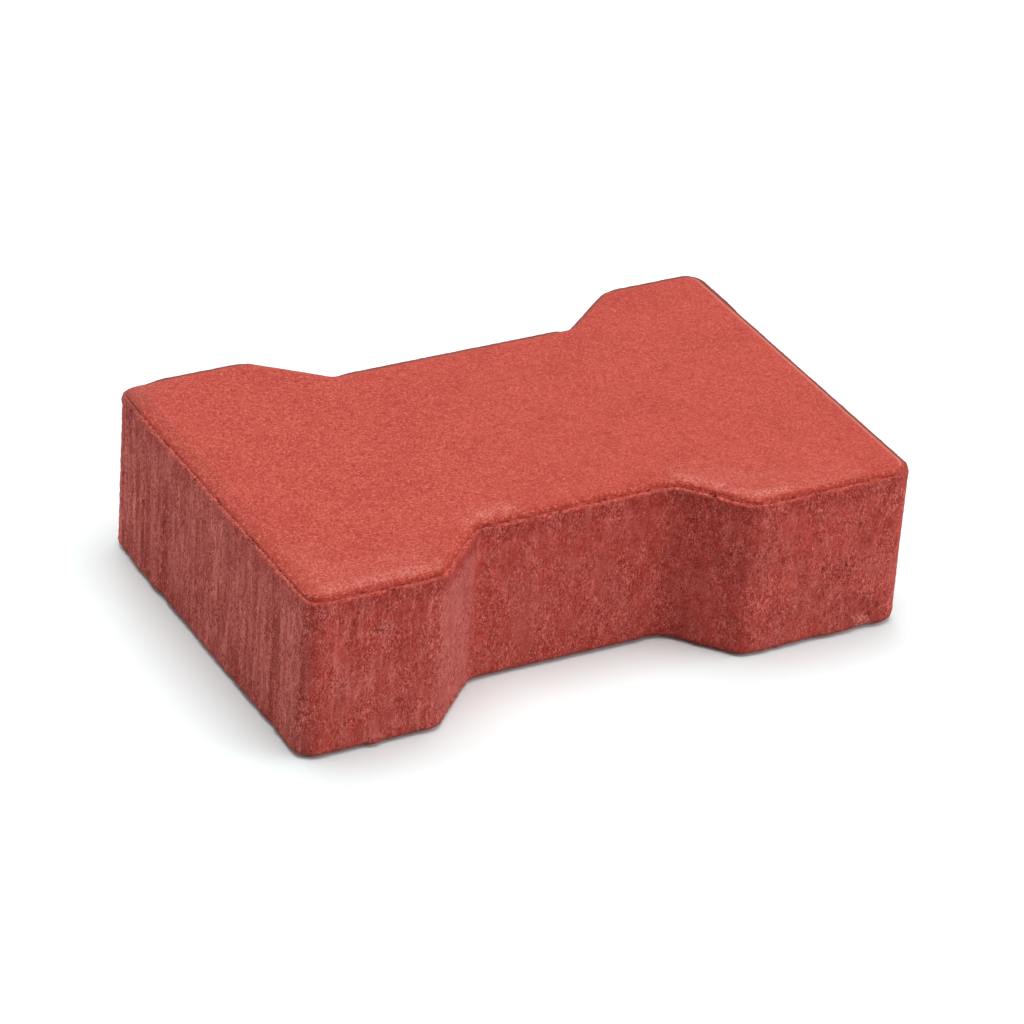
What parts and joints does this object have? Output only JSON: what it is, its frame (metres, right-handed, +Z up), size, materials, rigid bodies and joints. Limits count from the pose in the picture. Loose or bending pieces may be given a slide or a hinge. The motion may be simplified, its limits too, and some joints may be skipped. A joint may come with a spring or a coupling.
{
  "type": "interlocking concrete paving stone",
  "caption": "Double-T concrete paving stone with wide heads, notched long sides, a stepped pressed edge and a flat top; laid in interlocking rows on a sand bed to pave ground.",
  "frame": {"origin": "middle of the underside's bounding rectangle, on the face that rests on the laying bed", "axes": "+X along the length, +Y across the width towards the side with the longer notch, +Z up to the walked face"},
  "size_m": [0.225, 0.149, 0.061],
  "materials": {
    "pigmented_concrete": "vibro-pressed concrete, red oxide pigment through the whole body, fine open grain, matt"
  },
  "bodies": {
    "root": {"paving_stone": "pigmented_concrete"}
  },
  "joints": []
}
